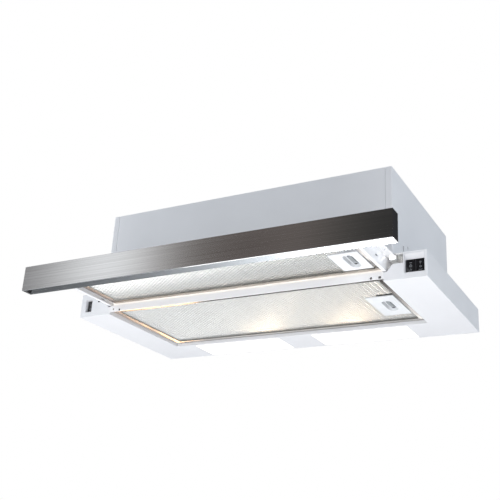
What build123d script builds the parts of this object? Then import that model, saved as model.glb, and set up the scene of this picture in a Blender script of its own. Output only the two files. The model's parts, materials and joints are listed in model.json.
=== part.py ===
from build123d import *
import os
from math import cos, radians, sin, sqrt

os.makedirs("parts", exist_ok=True)

# Slide-out cooker hood for a 600 mm wall cabinet, in millimetres, with its drawer pulled out.
# X runs to the right, Y to the wall and Z up. The origin is the middle of the four cabinet fixing holes, in the
# plane where the tray's top meets the cabinet floor.

# ---- Driving sizes ----
body_w = 598.0  # tray and fascia, side to side
body_d = 280.0  # wall face to tray front
tray_h = 40.0  # tray, below the cabinet floor
upper_w = 500.0  # upper casing, side to side
upper_h = 137.5  # upper casing, above the cabinet floor
sheet = 1.0  # steel sheet
drawer_travel = 120.0
fascia_d = 19.0
fascia_h = 39.2
fascia_rise = 0.9  # fascia top above the tray top

# Clearances
seam = 0.3  # between neighbouring panels
loose = 0.3  # between moving pieces that don't touch
running = 0.05  # radial, round a pin or shaft

# Cabinet fixing holes in the tray top
fixing_dx = 548.0
fixing_dy = 200.0
fixing_r = 2.5

# Underside openings
opening_half = 236.5
lamp_zone = 76.0  # strip behind the filter opening that holds the lamps
lip_h = 12.0
lamp_w = 168.0
lamp_d = 66.5
lamp_dx = 115.5  # middle of each lamp opening
lamp_margin = 3.5

# Front corners of the tray
corner_x = 265.0  # full height outside this
shelf_x = 250.0
shelf_z = -16.0
foot_x = 241.0
foot_z = -27.0

# Crossbar
bar_low = -36.0
bar_high = -25.6
bar_depth = 10.0
bar_hole_x = 218.0
bar_hole_z = -33.5
bar_hole_r = 2.0
bar_slot_x = (229.0, 233.0)
bar_slot_z = (-35.5, -31.5)

# Drawer
rail_x = 240.0  # outer face of each drawer rail's web
rail_t = 1.2
rail_low = -25.0
rail_high = -1.8
rail_flange = 12.0
rail_ledge = 3.8
rail_l = 190.0
tab_x = 229.0  # screws between each rail and the fascia's rear plate
tab_inner_x = 222.0
tab_hole_r = 2.1
flange_hole_x = 7.0  # from the rail's web
flange_hole_r = 2.2
drawer_filter_rear = 7.5  # how far the drawer filter reaches behind the tray front, drawer out

# Filters
filter_t = 7.5
filter_left = -232.5
filter_right = 233.5
frame_w = 8.0
lip_t = 0.8
plate_proud = 0.6  # handle plate below the filter's underside
drawer_filter_z = -20.0
rear_filter_z = -35.5
handle_w = 44.0
rear_handle_l = 88.0
recess_w = 15.0
recess_l = 46.0
recess_depth = 5.2
slider_w = 6.0
slider_l = 30.0
bolt_w = 6.0
bolt_low = 3.4  # bolt above the filter's underside
bolt_high = 4.9
pivot_r = 1.5
filter_pivot_x = -230.0
rear_handle_y = -24.0
drawer_handle_y = -178.5
drawer_handle_l = 63.0

# Switches
switch_mid_z = -20.85
recess_y = 5.5  # switch faces behind the tray front
rocker_r = 10.8
rocker_face = 4.0  # rocker face in front of its pivot
rocker_w = 12.3
switch_wall = 1.2
switch_depth = 17.0
bezel_d = 6.0
bezel_t = 0.6

# Air mover
blower_y = -20.0
blower_z = 62.0
blower_half = 48.0
scroll_left = 52.0
scroll_low = 55.0
scroll_right = 58.0
scroll_t = 2.0
tongue_y = 30.0
inlet_r = 38.0
impeller_r = 44.0
impeller_half = 40.0
blade_count = 30
shaft_r = 4.0
motor_r = 30.0
motor_x = 62.0
motor_l = 40.0
motor_band = 5.0
bracket_t = 3.0
bracket_foot = 46.0  # from the axis to each foot
bracket_arm = 38.0
bracket_w = 14.0

# Outlet
collar_r = 59.5
collar_t = 2.0
collar_h = 38.0
collar_flange_r = 70.0
flap_rise = 12.5  # flap pins above the top panel
flap_t = 1.5
flap_pin_y = 4.0
barrel_r = 3.0

# Cable gland
gland_x = -145.0
gland_y = 106.0
gland_r = 8.0
gland_bore = 4.5
gland_nut_r = 12.5
gland_nut_h = 6.0
gland_dome_r = 10.0

# ---- Places worked out from them ----
half_w = body_w / 2
half_upper = upper_w / 2
front_y = -body_d / 2
rear_y = body_d / 2
floor_z = -tray_h
side_flange = 10.0
panel_half = half_upper - side_flange - seam
fascia_rear = front_y - drawer_travel - 0.5
fascia_front = fascia_rear - 1.0 - fascia_d
opening_rear = rear_y - lamp_zone
lamp_y = rear_y - lamp_margin - lamp_d / 2
outlet_y = blower_y + (scroll_right - tongue_y) / 2
flap_z = upper_h + flap_rise
pivot_y = front_y + recess_y + rocker_face
rear_filter_front = front_y + 2.5
rear_filter_rear = opening_rear - 1.5
drawer_filter_front = fascia_rear + 4.5
drawer_filter_end = front_y + drawer_filter_rear
rail_front = fascia_rear
rail_rear = rail_front + rail_l


def block(x, y, z, mode=Mode.ADD):
    """A straight-sided block in the part being built. x, y and z are pairs of ends, in either order."""
    with Locations((sum(x) / 2, sum(y) / 2, sum(z) / 2)):
        Box(abs(x[1] - x[0]), abs(y[1] - y[0]), abs(z[1] - z[0]), mode=mode)


def rod(axis, places, ends, radius, mode=Mode.ADD):
    """Round bars along "x", "y" or "z" in the part being built. Each place is the bar's other two coordinates."""
    low, high = min(ends), max(ends)
    starts = {"x": Plane.YZ.offset(low), "y": Plane.XZ.offset(-high), "z": Plane.XY.offset(low)}
    with BuildSketch(starts[axis]) as section:
        with Locations(*places):
            Circle(radius)
    extrude(section.sketch, amount=high - low, mode=mode)


def both(value):
    """The two places of something that is mirrored left to right."""
    return (-value, value)


# ---- Lower tray ----
lip_top = floor_z + lip_h
bolt_window_y = bolt_w / 2 + 0.5
cover_bead_r = 4.0
cover_gap = loose
cover_axis_y = rear_y - lamp_margin - cover_gap - cover_bead_r
cover_axis_z = floor_z + cover_bead_r
filter_pivot_z = rear_filter_z + filter_t / 2
right_window = ((266.0, 296.0), (-32.0, -3.0))
left_window = ((-290.0, -275.5), (-31.8, -9.9))

with BuildPart() as lower_tray:
    block(both(half_w), (front_y, rear_y), (floor_z, 0))
    block(both(half_w - sheet), (front_y + sheet, rear_y - sheet), (floor_z + sheet, -sheet), Mode.SUBTRACT)
    # Opening up into the casing
    block(both(rail_x - 2), (front_y + sheet, rear_y - 12), (-sheet, 0), Mode.SUBTRACT)
    # Drawer mouth, stepped at both corners
    with BuildSketch(Plane.XZ.offset(-front_y - sheet)):
        with BuildLine():
            Polyline(
                (-corner_x, -sheet),
                (-corner_x, shelf_z),
                (-shelf_x, shelf_z),
                (-foot_x, foot_z),
                (-opening_half, foot_z),
                (-opening_half, floor_z),
                (opening_half, floor_z),
                (opening_half, foot_z),
                (foot_x, foot_z),
                (shelf_x, shelf_z),
                (corner_x, shelf_z),
                (corner_x, -sheet),
                close=True,
            )
        make_face()
    extrude(amount=sheet, mode=Mode.SUBTRACT)
    # Filter opening and lamp openings
    block(both(opening_half), (front_y, opening_rear), (floor_z, floor_z + sheet), Mode.SUBTRACT)
    for middle in both(lamp_dx):
        block(
            (middle - lamp_w / 2, middle + lamp_w / 2),
            (lamp_y - lamp_d / 2, lamp_y + lamp_d / 2),
            (floor_z, floor_z + sheet),
            Mode.SUBTRACT,
        )
    # Upturned lips of the filter opening
    for sign in (-1, 1):
        block(
            (sign * opening_half, sign * (opening_half + sheet)),
            (front_y + sheet, opening_rear + sheet),
            (floor_z, lip_top),
        )
    block(both(opening_half + sheet), (opening_rear, opening_rear + sheet), (floor_z, lip_top))
    rod("y", [(filter_pivot_x, filter_pivot_z)], (opening_rear, opening_rear + sheet), pivot_r + running, Mode.SUBTRACT)
    block(
        (opening_half, opening_half + sheet),
        (rear_handle_y - bolt_window_y, rear_handle_y + bolt_window_y),
        (rear_filter_z + bolt_low - loose, rear_filter_z + bolt_high + loose),
        Mode.SUBTRACT,
    )
    # Ears that carry the lamp covers
    for middle in both(lamp_dx):
        for end in both(lamp_w / 2):
            outer = end + (sheet if end > 0 else -sheet)
            block(
                (middle + end, middle + outer),
                (cover_axis_y - 6, cover_axis_y + 4.5),
                (floor_z, cover_axis_z + 6),
            )
            rod(
                "x",
                [(cover_axis_y, cover_axis_z)],
                (middle + end, middle + outer),
                pivot_r + running,
                Mode.SUBTRACT,
            )
    # Switch windows
    for across, up in (right_window, left_window):
        block(across, (front_y, front_y + sheet), up, Mode.SUBTRACT)
    # Cabinet fixing holes
    with BuildSketch(Plane.XY.offset(-sheet)):
        with GridLocations(fixing_dx, fixing_dy, 2, 2):
            Circle(fixing_r)
    extrude(amount=sheet, mode=Mode.SUBTRACT)
lower_tray.part.label = "lower_tray"
export_step(lower_tray.part, "parts/lower_tray.step")

# ---- Crossbar under the drawer ----
with BuildPart() as front_crossbar:
    block(both(opening_half), (front_y, front_y + sheet), (bar_low, bar_high))
    block(both(opening_half), (front_y + sheet, front_y + bar_depth), (bar_high - sheet, bar_high))
    rod("y", [(filter_pivot_x, filter_pivot_z)], (front_y, front_y + sheet), pivot_r + running, Mode.SUBTRACT)
    rod("y", [(x, bar_hole_z) for x in both(bar_hole_x)], (front_y, front_y + sheet), bar_hole_r, Mode.SUBTRACT)
    block(bar_slot_x, (front_y, front_y + sheet), bar_slot_z, Mode.SUBTRACT)
front_crossbar.part.label = "front_crossbar"
export_step(front_crossbar.part, "parts/front_crossbar.step")

# ---- Upper casing ----
rivet_r = 1.6
rivet_x = half_upper - side_flange
rivet_inset = 6.0
rivet_heights = (0.22 * upper_h, 0.5 * upper_h, 0.78 * upper_h)
clip_slots = (((-93.5, -90.5), (20.7, 29.7)), ((-73.0, -70.0), (30.7, 35.9)))
top_rivet_z = upper_h - sheet - 5
top_rivet_y = (-80.0, 0.0, 80.0)
wall_rivets = [(y, z) for y in (front_y + rivet_inset, rear_y - rivet_inset) for z in rivet_heights]
top_rivets = [(y, top_rivet_z) for y in top_rivet_y]

for side, sign in (("left", -1), ("right", 1)):
    inner = sign * (half_upper - side_flange)
    wall = sign * (half_upper - sheet)
    lip = sign * (half_upper - side_flange + sheet)
    with BuildPart() as side_panel:
        block((wall, sign * half_upper), (front_y, rear_y), (0, upper_h))
        for outer, inward in ((front_y, 1), (rear_y, -1)):
            block((inner, wall), (outer, outer + inward * sheet), (0, upper_h))
            block((inner, lip), (outer + inward * sheet, outer + inward * (sheet + side_flange)), (0, upper_h))
        block((inner, wall), (front_y + sheet, rear_y - sheet), (upper_h - sheet, upper_h))
        block((inner, lip), (front_y + sheet, rear_y - sheet), (upper_h - sheet - side_flange, upper_h - sheet))
        block((inner, wall), (front_y + sheet, rear_y - sheet), (0, sheet))
        rod("x", wall_rivets + top_rivets, (inner, lip), rivet_r + 0.1, Mode.SUBTRACT)
        # Slots for the cabinet clips
        for along, up in clip_slots:
            block((wall, sign * half_upper), along, up, Mode.SUBTRACT)
    side_panel.part.label = f"side_panel_{side}"
    export_step(side_panel.part, f"parts/side_panel_{side}.step")

for name, outer, inward in (("front_panel", front_y, 1), ("rear_panel", rear_y, -1)):
    inside = outer + inward * sheet
    deep = inside + inward * side_flange
    with BuildPart() as wall_panel:
        block(both(panel_half), (outer, inside), (seam, upper_h))
        for sign in (-1, 1):
            block((sign * (panel_half - sheet), sign * panel_half), (inside, deep), (seam, upper_h - sheet - seam))
            rod(
                "x",
                [(outer + inward * rivet_inset, z) for z in rivet_heights],
                (sign * (panel_half - sheet), sign * panel_half),
                rivet_r + 0.1,
                Mode.SUBTRACT,
            )
        block(both(panel_half), (inside, deep), (upper_h - 2 * sheet - seam, upper_h - sheet - seam))
        block(both(panel_half), (inside, deep), (seam, seam + sheet))
    wall_panel.part.label = name
    export_step(wall_panel.part, f"parts/{name}.step")

top_hole_r = 2.0
top_screw_dy = 53.0
top_screw_places = [
    (x, outlet_y + y) for x in both(blower_half + 5) for y in both(top_screw_dy)
]
with BuildPart() as top_panel:
    depth = rear_y - sheet - seam
    block(both(panel_half), both(depth), (upper_h - sheet, upper_h))
    for sign in (-1, 1):
        block(
            (sign * (panel_half - sheet), sign * panel_half),
            both(depth - side_flange - 2),
            (upper_h - sheet - side_flange, upper_h - sheet),
        )
        rod(
            "x",
            top_rivets,
            (sign * (panel_half - sheet), sign * panel_half),
            rivet_r + 0.1,
            Mode.SUBTRACT,
        )
    rod("z", [(0, outlet_y)], (upper_h - sheet, upper_h), collar_r + 0.5, Mode.SUBTRACT)
    rod("z", [(gland_x, gland_y)], (upper_h - sheet, upper_h), gland_r + 0.2, Mode.SUBTRACT)
    rod("z", top_screw_places, (upper_h - sheet, upper_h), top_hole_r, Mode.SUBTRACT)
top_panel.part.label = "top_panel"
export_step(top_panel.part, "parts/top_panel.step")

with BuildPart() as body_rivets:
    for sign in (-1, 1):
        low = sign * (panel_half - sheet)
        high = sign * (rivet_x + sheet)
        rod("x", wall_rivets + top_rivets, (low - sign, high + sign), rivet_r)
        rod("x", wall_rivets + top_rivets, (low - sign, low), 2 * rivet_r)
        rod("x", wall_rivets + top_rivets, (high, high + sign), 2 * rivet_r)
body_rivets.part.label = "body_rivets"
export_step(body_rivets.part, "parts/body_rivets.step")

# ---- Outlet collar and non-return flaps ----
collar_inner = collar_r - collar_t
collar_base = upper_h - sheet
ledge_r = collar_inner - 4
ledge_top = flap_z - flap_t / 2 - 0.2
flap_pins_at = [(outlet_y + y, flap_z) for y in both(flap_pin_y)]

with BuildPart() as outlet_collar:
    rod("z", [(0, outlet_y)], (collar_base, upper_h + collar_h), collar_r)
    rod("z", [(0, outlet_y)], (upper_h, upper_h + 2), collar_flange_r)
    rod("z", [(0, outlet_y)], (collar_base, ledge_top), ledge_r, Mode.SUBTRACT)
    rod("z", [(0, outlet_y)], (collar_base, ledge_top - 2), collar_inner, Mode.SUBTRACT)
    rod("z", [(0, outlet_y)], (ledge_top, upper_h + collar_h), collar_inner, Mode.SUBTRACT)
    rod("x", flap_pins_at, both(collar_r + 1), pivot_r + running, Mode.SUBTRACT)
outlet_collar.part.label = "outlet_collar"
export_step(outlet_collar.part, "parts/outlet_collar.step")

with BuildPart() as flap_pins:
    rod("x", flap_pins_at, both(collar_r - 0.5), pivot_r)
flap_pins.part.label = "flap_pins"
export_step(flap_pins.part, "parts/flap_pins.step")

for side, sign in (("front", -1), ("rear", 1)):
    hinge_y = outlet_y + sign * flap_pin_y
    barrel_half = sqrt((ledge_r - 0.5) ** 2 - (flap_pin_y + barrel_r) ** 2)
    with BuildPart() as flap:
        rod("z", [(0, outlet_y)], (flap_z - flap_t / 2, flap_z + flap_t / 2), collar_inner - 1)
        block(
            both(collar_r),
            (hinge_y, outlet_y - sign * collar_r),
            (flap_z - flap_t, flap_z + flap_t),
            Mode.SUBTRACT,
        )
        rod("x", [(hinge_y, flap_z)], both(barrel_half), barrel_r)
        rod("x", [(hinge_y, flap_z)], both(collar_r), pivot_r + running, Mode.SUBTRACT)
    flap.part.label = f"flap_{side}"
    export_step(flap.part, f"parts/flap_{side}.step")

# ---- Blower housing, two halves that meet in the middle ----
throat_low = blower_y - tongue_y
throat_high = blower_y + scroll_right
tongue_z = blower_z + 42.0
duct_top = upper_h - sheet


def polar(angle, radius):
    """A point of the blower's side view, from the impeller's axis. The angle is from the wall side, upwards."""
    return (blower_y + radius * cos(radians(angle)), blower_z + radius * sin(radians(angle)))


def scroll_outline(inset):
    """The housing's side view, drawn in by inset."""
    left = (blower_y - scroll_left + inset, blower_z)
    low = (blower_y, blower_z - scroll_low + inset)
    right = (blower_y + scroll_right - inset, blower_z)
    tongue = (throat_low + inset, tongue_z)
    with BuildLine() as outline:
        Line((throat_low + inset, duct_top), tongue)
        ThreePointArc(tongue, polar(153, scroll_left - 0.3 - inset), left)
        ThreePointArc(left, polar(225, (scroll_left + scroll_low) / 2 - inset), low)
        ThreePointArc(low, polar(315, (scroll_low + scroll_right) / 2 - inset), right)
        Line(right, (throat_high - inset, duct_top))
        Line((throat_high - inset, duct_top), (throat_low + inset, duct_top))
    make_face(outline.edges())


boss_r = 4.0
boss_out = boss_r + 0.8
boss_l = 8.0
boss_bore = 1.7
boss_screw_r = 1.5
head_h = 1.8
top_screw_r = 1.8
duct_flange = 14.0
duct_flange_t = 2.0
boss_places = [
    polar(180, scroll_left + boss_out),
    polar(225, (scroll_left + scroll_low) / 2 + boss_out),
    polar(0, scroll_right + boss_out),
]

for side, sign in (("left", -1), ("right", 1)):
    with BuildPart() as blower_half_shell:
        with BuildSketch(Plane.YZ):
            scroll_outline(0)
        extrude(amount=sign * blower_half)
        rod("x", boss_places, (0, sign * boss_l), boss_r)
        block(
            (0, sign * (blower_half + 10)),
            (throat_low - duct_flange, throat_high + duct_flange),
            (duct_top - duct_flange_t, duct_top),
        )
        with BuildSketch(Plane.YZ):
            scroll_outline(scroll_t)
        extrude(amount=sign * (blower_half - scroll_t), mode=Mode.SUBTRACT)
        rod("x", [(blower_y, blower_z)], (sign * blower_half, sign * (blower_half - scroll_t)), inlet_r, Mode.SUBTRACT)
        rod("x", boss_places, (0, sign * boss_l), boss_bore, Mode.SUBTRACT)
        rod("z", top_screw_places, (duct_top - duct_flange_t, duct_top), top_hole_r, Mode.SUBTRACT)
    blower_half_shell.part.label = f"blower_housing_{side}"
    export_step(blower_half_shell.part, f"parts/blower_housing_{side}.step")

with BuildPart() as blower_screws:
    rod("x", boss_places, (-boss_l - head_h, boss_l + 2), boss_screw_r)
    rod("x", boss_places, (-boss_l - head_h, -boss_l), 2 * boss_screw_r)
    rod("z", top_screw_places, (duct_top - 6, upper_h + head_h), top_screw_r)
    rod("z", top_screw_places, (upper_h, upper_h + head_h), 2 * top_screw_r)
blower_screws.part.label = "blower_screws"
export_step(blower_screws.part, "parts/blower_screws.step")

# ---- Impeller, shaft and motor ----
blade_mid = impeller_r - 3.5
blade_l = 6.5
blade_t = 1.0
blade_turn = 32.0
hub_r = 8.0
hub_half = 12.0
ring_t = 2.0
ring_w = 6.0
with BuildPart() as impeller:
    with BuildSketch(Plane.YZ.offset(-impeller_half)):
        with Locations((blower_y, blower_z)):
            with PolarLocations(blade_mid, blade_count):
                Rectangle(blade_l, blade_t, rotation=blade_turn)
    extrude(amount=2 * impeller_half)
    rod("x", [(blower_y, blower_z)], (-1, 1), impeller_r - 0.6)
    rod("x", [(blower_y, blower_z)], both(hub_half), hub_r)
    for sign in (-1, 1):
        with BuildSketch(Plane.YZ.offset(min(sign * (impeller_half - ring_t), sign * impeller_half))):
            with Locations((blower_y, blower_z)):
                Circle(impeller_r)
                Circle(impeller_r - ring_w, mode=Mode.SUBTRACT)
        extrude(amount=ring_t)
    rod("x", [(blower_y, blower_z)], both(hub_half + 1), shaft_r, Mode.SUBTRACT)
impeller.part.label = "impeller"
export_step(impeller.part, "parts/impeller.step")

with BuildPart() as motor_shaft:
    rod("x", [(blower_y, blower_z)], (-hub_half - 2, motor_x + motor_l + 4), shaft_r)
motor_shaft.part.label = "motor_shaft"
export_step(motor_shaft.part, "parts/motor_shaft.step")

with BuildPart() as motor:
    rod("x", [(blower_y, blower_z)], (motor_x, motor_x + motor_l), motor_r)
    for start in (motor_x, motor_x + motor_l - motor_band):
        rod("x", [(blower_y, blower_z)], (start, start + motor_band), motor_r + 2.5)
    rod("x", [(blower_y, blower_z)], (motor_x, motor_x + motor_l), shaft_r + running, Mode.SUBTRACT)
motor.part.label = "motor"
export_step(motor.part, "parts/motor.step")

with BuildPart() as motor_bracket:
    with BuildSketch(Plane.YZ.offset(motor_x - bracket_t)):
        with Locations((blower_y, blower_z)):
            Circle(motor_r)
            with PolarLocations(bracket_arm, 3, start_angle=90):
                Rectangle(24, bracket_w)
            Circle(bracket_w, mode=Mode.SUBTRACT)
    extrude(amount=bracket_t)
    with BuildSketch(Plane.YZ.offset(blower_half)):
        with Locations((blower_y, blower_z)):
            with PolarLocations(bracket_foot, 3, start_angle=90):
                Rectangle(8, bracket_w)
    extrude(amount=motor_x - bracket_t - blower_half)
motor_bracket.part.label = "motor_bracket"
export_step(motor_bracket.part, "parts/motor_bracket.step")

# ---- Capacitor, terminal box and cable gland ----
capacitor_x = 150.0
capacitor_r = 15.0
capacitor_y = rear_y - sheet - capacitor_r - 5
capacitor_z = (22.0, 78.0)
tag_top = 86.0
clip_z = (42.0, 56.0)
clip_half = 12.0
with BuildPart() as capacitor:
    rod("z", [(capacitor_x, capacitor_y)], capacitor_z, capacitor_r)
    rod("z", [(capacitor_x + x, capacitor_y) for x in both(6)], (capacitor_z[1], tag_top), 1.5)
capacitor.part.label = "capacitor"
export_step(capacitor.part, "parts/capacitor.step")

with BuildPart() as capacitor_clip:
    rod("z", [(capacitor_x, capacitor_y)], clip_z, capacitor_r + 1.8)
    block((capacitor_x - clip_half, capacitor_x + clip_half), (capacitor_y + capacitor_r, rear_y - sheet), clip_z)
    rod("z", [(capacitor_x, capacitor_y)], clip_z, capacitor_r + 0.1, Mode.SUBTRACT)
capacitor_clip.part.label = "capacitor_clip"
export_step(capacitor_clip.part, "parts/capacitor_clip.step")

box_wall = 2.0
cover_fit = 0.3
box_h = 38.0
box_x = (gland_x - 32, gland_x + 32)
box_y = (gland_y - 22, gland_y + 20)
box_z = (upper_h - sheet - box_h, upper_h - sheet)
with BuildPart() as terminal_box:
    block(box_x, box_y, box_z)
    block(
        (box_x[0] + box_wall, box_x[1] - box_wall),
        (box_y[0] + box_wall, box_y[1] - box_wall),
        (box_z[0], box_z[1] - box_wall),
        Mode.SUBTRACT,
    )
    rod("z", [(gland_x, gland_y)], (box_z[1] - box_wall, box_z[1]), gland_r + 0.2, Mode.SUBTRACT)
terminal_box.part.label = "terminal_box"
export_step(terminal_box.part, "parts/terminal_box.step")

with BuildPart() as terminal_cover:
    cover_inset = box_wall + cover_fit
    block(box_x, box_y, (box_z[0] - box_wall, box_z[0]))
    block(
        (box_x[0] + cover_inset, box_x[1] - cover_inset),
        (box_y[0] + cover_inset, box_y[1] - cover_inset),
        (box_z[0], box_z[0] + box_wall),
    )
terminal_cover.part.label = "terminal_cover"
export_step(terminal_cover.part, "parts/terminal_cover.step")

with BuildPart() as cable_gland:
    rod("z", [(gland_x, gland_y)], (box_z[1] - 12, upper_h + gland_nut_h), gland_r)
    with BuildSketch(Plane.XY.offset(upper_h)):
        with Locations((gland_x, gland_y)):
            RegularPolygon(gland_nut_r, 6)
    extrude(amount=gland_nut_h)
    with BuildSketch(Plane.XY.offset(box_z[1] - 7)):
        with Locations((gland_x, gland_y)):
            RegularPolygon(gland_nut_r, 6)
    extrude(amount=5)
    with BuildSketch(Plane.XY.offset(upper_h + gland_nut_h)):
        with Locations((gland_x, gland_y)):
            Circle(gland_dome_r)
    extrude(amount=9, taper=20)
    rod("z", [(gland_x, gland_y)], (box_z[1] - 13, upper_h + 16), gland_bore, Mode.SUBTRACT)
cable_gland.part.label = "cable_gland"
export_step(cable_gland.part, "parts/cable_gland.step")

# ---- Lights ----
reflector_half = lamp_w / 2 + 3
reflector_y = (lamp_y - lamp_d / 2 - 2, rear_y - 2)
reflector_top = -6.0
bulb_z = -22.0
bulb_r = 12.5
cap_r = 6.9
cover_t = 2.0
cover_wall_h = 5.5
cover_wall_t = 1.5
holder_r = 12.0
holder_l = 30.0
bulb_l = 56.0

for side, sign in (("left", -1), ("right", 1)):
    middle = sign * lamp_dx
    outer_end = middle + sign * (reflector_half - 1)
    with BuildPart() as reflector:
        block(
            (middle - reflector_half, middle + reflector_half),
            reflector_y,
            (floor_z + sheet, reflector_top),
        )
        block(
            (middle - reflector_half + 1, middle + reflector_half - 1),
            (reflector_y[0] + 1, reflector_y[1] - 1),
            (floor_z + sheet, reflector_top - 1),
            Mode.SUBTRACT,
        )
    reflector.part.label = f"lamp_reflector_{side}"
    export_step(reflector.part, f"parts/lamp_reflector_{side}.step")

    with BuildPart() as lamp_holder:
        rod("x", [(lamp_y, bulb_z)], (outer_end, outer_end - sign * holder_l), holder_r)
        rod("x", [(lamp_y, bulb_z)], (outer_end - sign * 6, outer_end - sign * holder_l), cap_r + 0.4, Mode.SUBTRACT)
    lamp_holder.part.label = f"lamp_holder_{side}"
    export_step(lamp_holder.part, f"parts/lamp_holder_{side}.step")

    neck = outer_end - sign * (holder_l + 2)
    with BuildPart() as bulb:
        rod("x", [(lamp_y, bulb_z)], (outer_end - sign * 8, neck), cap_r)
        with BuildSketch(Plane.XY.offset(bulb_z)):
            with BuildLine():
                Polyline(
                    (neck, lamp_y),
                    (neck, lamp_y + cap_r),
                    (neck - sign * 10, lamp_y + bulb_r),
                    (neck - sign * bulb_l, lamp_y + bulb_r),
                )
                ThreePointArc(
                    (neck - sign * bulb_l, lamp_y + bulb_r),
                    (neck - sign * (bulb_l + bulb_r * sin(radians(45))), lamp_y + bulb_r * cos(radians(45))),
                    (neck - sign * (bulb_l + bulb_r), lamp_y),
                )
                Line((neck - sign * (bulb_l + bulb_r), lamp_y), (neck, lamp_y))
            make_face()
        revolve(axis=Axis((0, lamp_y, bulb_z), (1, 0, 0)))
    bulb.part.label = f"lamp_bulb_{side}"
    export_step(bulb.part, f"parts/lamp_bulb_{side}.step")

    cover_half = lamp_w / 2 - cover_gap
    cover_front = lamp_y - lamp_d / 2 + cover_gap
    with BuildPart() as lamp_cover:
        block((middle - cover_half, middle + cover_half), (cover_front, cover_axis_y), (floor_z, floor_z + cover_wall_h))
        block(
            (middle - cover_half + cover_wall_t, middle + cover_half - cover_wall_t),
            (cover_front + cover_wall_t, cover_axis_y + cover_bead_r),
            (floor_z + cover_t, floor_z + cover_wall_h),
            Mode.SUBTRACT,
        )
        rod("x", [(cover_axis_y, cover_axis_z)], (middle - cover_half, middle + cover_half), cover_bead_r)
        rod("x", [(cover_axis_y, cover_axis_z)], (middle - cover_half - 1.8, middle + cover_half + 1.8), pivot_r)
    lamp_cover.part.label = f"lamp_cover_{side}"
    export_step(lamp_cover.part, f"parts/lamp_cover_{side}.step")

# ---- Switches ----
body_front = front_y + bezel_d
body_back = body_front + switch_depth
face_half = 10.35  # half the height of the rockers' faces
reach_z = switch_mid_z + face_half
base_z = switch_mid_z - face_half
body_half_h = 13.0
rocker_gap = 0.2
terminal_dz = 7.0
terminal_l = 8.0


def rocker_places(window, count):
    """Middle of each rocker behind a window."""
    middle = sum(window[0]) / 2
    pitch = rocker_w + switch_wall + 2 * rocker_gap
    return [middle + pitch * (index - (count - 1) / 2) for index in range(count)]


switch_sets = (
    ("right", right_window, ("fan_rocker", "lamp_rocker")),
    ("left", left_window, ("power_rocker",)),
)
for side, window, rockers in switch_sets:
    (x_low, x_high), (z_low, z_high) = window
    centres = rocker_places(window, len(rockers))
    with BuildPart() as bezel:
        block((x_low + rocker_gap, x_high - rocker_gap), (front_y, body_front), (z_low + rocker_gap, z_high - rocker_gap))
        with BuildSketch(Plane.YZ.offset(x_low + rocker_gap + bezel_t)):
            with BuildLine():
                Polyline(
                    (front_y, base_z),
                    (body_front, base_z),
                    (body_front, reach_z),
                    (front_y, z_high - rocker_gap - bezel_t),
                    close=True,
                )
            make_face()
        extrude(amount=x_high - x_low - 2 * (rocker_gap + bezel_t), mode=Mode.SUBTRACT)
    bezel.part.label = f"{side}_switch_bezel"
    export_step(bezel.part, f"parts/{side}_switch_bezel.step")

    body_half = (len(centres) * (rocker_w + 2 * rocker_gap) + (len(centres) + 1) * switch_wall) / 2
    middle = sum(window[0]) / 2
    with BuildPart() as switch_body:
        block(
            (middle - body_half, middle + body_half),
            (body_front, body_back),
            (switch_mid_z - body_half_h, switch_mid_z + body_half_h),
        )
        for centre in centres:
            rod(
                "x",
                [(pivot_y, switch_mid_z)],
                (centre - rocker_w / 2 - rocker_gap, centre + rocker_w / 2 + rocker_gap),
                rocker_r + loose,
                Mode.SUBTRACT,
            )
        rod("x", [(pivot_y, switch_mid_z)], (middle - body_half, middle + body_half), pivot_r + running, Mode.SUBTRACT)
    switch_body.part.label = f"{side}_switch_body"
    export_step(switch_body.part, f"parts/{side}_switch_body.step")

    for name, centre in zip(rockers, centres):
        with BuildPart() as rocker:
            rod("x", [(pivot_y, switch_mid_z)], (centre - rocker_w / 2, centre + rocker_w / 2), rocker_r)
            for near, far in ((pivot_y - rocker_face, pivot_y - 2 * rocker_r), (pivot_y + 5, pivot_y + 2 * rocker_r)):
                block((x_low - 5, x_high + 5), (near, far), (switch_mid_z - 20, switch_mid_z + 20), Mode.SUBTRACT)
            rod(
                "x",
                [(pivot_y, switch_mid_z)],
                (centre - rocker_w / 2 - 0.7, centre + rocker_w / 2 + 0.7),
                pivot_r,
            )
        rocker.part.label = name
        export_step(rocker.part, f"parts/{name}.step")

with BuildPart() as switch_terminals:
    for side, window, rockers in switch_sets:
        for centre in rocker_places(window, len(rockers)):
            for height in (-terminal_dz, 0, terminal_dz):
                block(
                    (centre - 3, centre + 3),
                    (body_back, body_back + terminal_l),
                    (switch_mid_z + height - 0.4, switch_mid_z + height + 0.4),
                )
switch_terminals.part.label = "switch_terminals"
export_step(switch_terminals.part, "parts/switch_terminals.step")

# ---- Drawer guides, fixed in the tray ----
guide_shelf = -9.0
guide_wall_x = rail_x + rail_flange + 2
guide_y = (front_y + 3, opening_rear - 4)
strip_top = rail_high - rail_t - 0.2
microswitch_y = (-60.0, -40.0)
microswitch_z = (-22.0, guide_shelf)
lever_y = (-58.0, -57.5)
lever_z = (-13.8, -9.5)  # clears the drawer filter's bolt as it passes

for side, sign in (("left", -1), ("right", 1)):
    with BuildPart() as guide_rail:
        block((sign * (rail_x + 4), sign * guide_wall_x), guide_y, (guide_shelf, guide_shelf + 1))
        block((sign * guide_wall_x, sign * (guide_wall_x + 1)), guide_y, (guide_shelf, -sheet))
        block((sign * guide_wall_x, sign * (guide_wall_x + 9)), guide_y, (-sheet - 1, -sheet))
    guide_rail.part.label = f"guide_rail_{side}"
    export_step(guide_rail.part, f"parts/guide_rail_{side}.step")

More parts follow.
